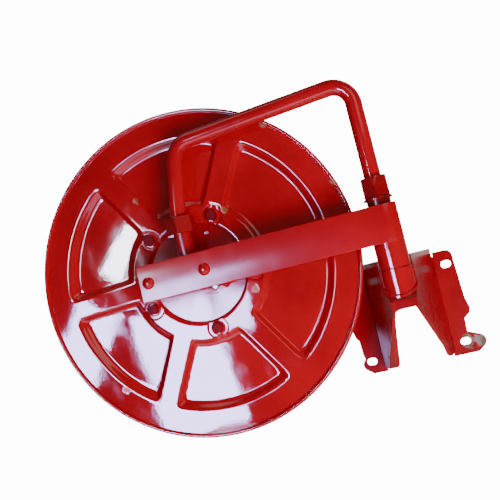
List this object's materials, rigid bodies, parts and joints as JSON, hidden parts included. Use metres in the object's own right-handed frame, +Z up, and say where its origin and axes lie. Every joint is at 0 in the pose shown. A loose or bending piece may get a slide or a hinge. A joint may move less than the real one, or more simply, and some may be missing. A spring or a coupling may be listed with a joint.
{
  "type": "fire hose reel",
  "caption": "Swinging hose reel: pressed steel reel on a flat-bar arm with an arched water pipe, turning and swinging on a wall bracket.",
  "frame": {"origin": "on the wall, at the middle of the bracket's four slots", "axes": "+X to the right along the wall, +Y into the wall, +Z up; at rest the arm lies along -X"},
  "size_m": [0.7229, 0.2145, 0.56],
  "materials": {
    "red_paint": "gloss",
    "red_pipe": "gloss",
    "red_casting": "gloss paint",
    "red_nut": "gloss",
    "red_bolt": "satin",
    "plain_steel": "zinc plated",
    "bronze": "machined",
    "seal_rubber": "matt"
  },
  "bodies": {
    "bracket": {"wall_bracket": "red_paint", "pivot_housing": "red_paint", "lower_bush": "bronze", "upper_bush": "bronze", "inlet_socket": "bronze", "inlet_seals": "seal_rubber"},
    "arm": {"swing_sleeve": "red_paint", "strap_arm": "red_paint", "pivot_spindle": "red_nut", "thrust_washer": "red_nut", "spindle_clip": "plain_steel", "gland_washer": "red_nut", "pivot_nut": "red_nut", "pivot_olive": "bronze", "water_pipe": "red_pipe", "hub_union_nut": "red_nut", "union_olive": "bronze", "hub_inlet": "red_casting", "drain_plug": "plain_steel", "arm_bolts": "red_bolt", "arm_washers": "plain_steel", "arm_nuts": "plain_steel", "shaft_seals": "seal_rubber", "shaft_washer": "plain_steel", "shaft_clip": "plain_steel"},
    "drum": {"front_disc": "red_paint", "rear_disc": "red_paint", "drum_barrel": "red_paint", "front_hub_plate": "red_paint", "rear_hub_plate": "red_paint", "hub_body": "red_paint", "front_bush": "bronze", "rear_bush": "bronze", "hub_bolts": "red_bolt", "hub_washers": "plain_steel", "hub_nuts": "plain_steel", "hose_outlet": "bronze", "end_cap": "red_paint"}
  },
  "joints": [
    {"name": "arm_swing", "type": "hinge", "parent": "bracket", "child": "arm", "pos_m": [0, -0.178, 0], "axis": [0, 0, 1], "range_deg": [0, 180]},
    {"name": "reel_spin", "type": "hinge", "parent": "arm", "child": "drum", "pos_m": [-0.324, -0.178, 0.158], "axis": [0, 1, 0], "continuous": true}
  ]
}
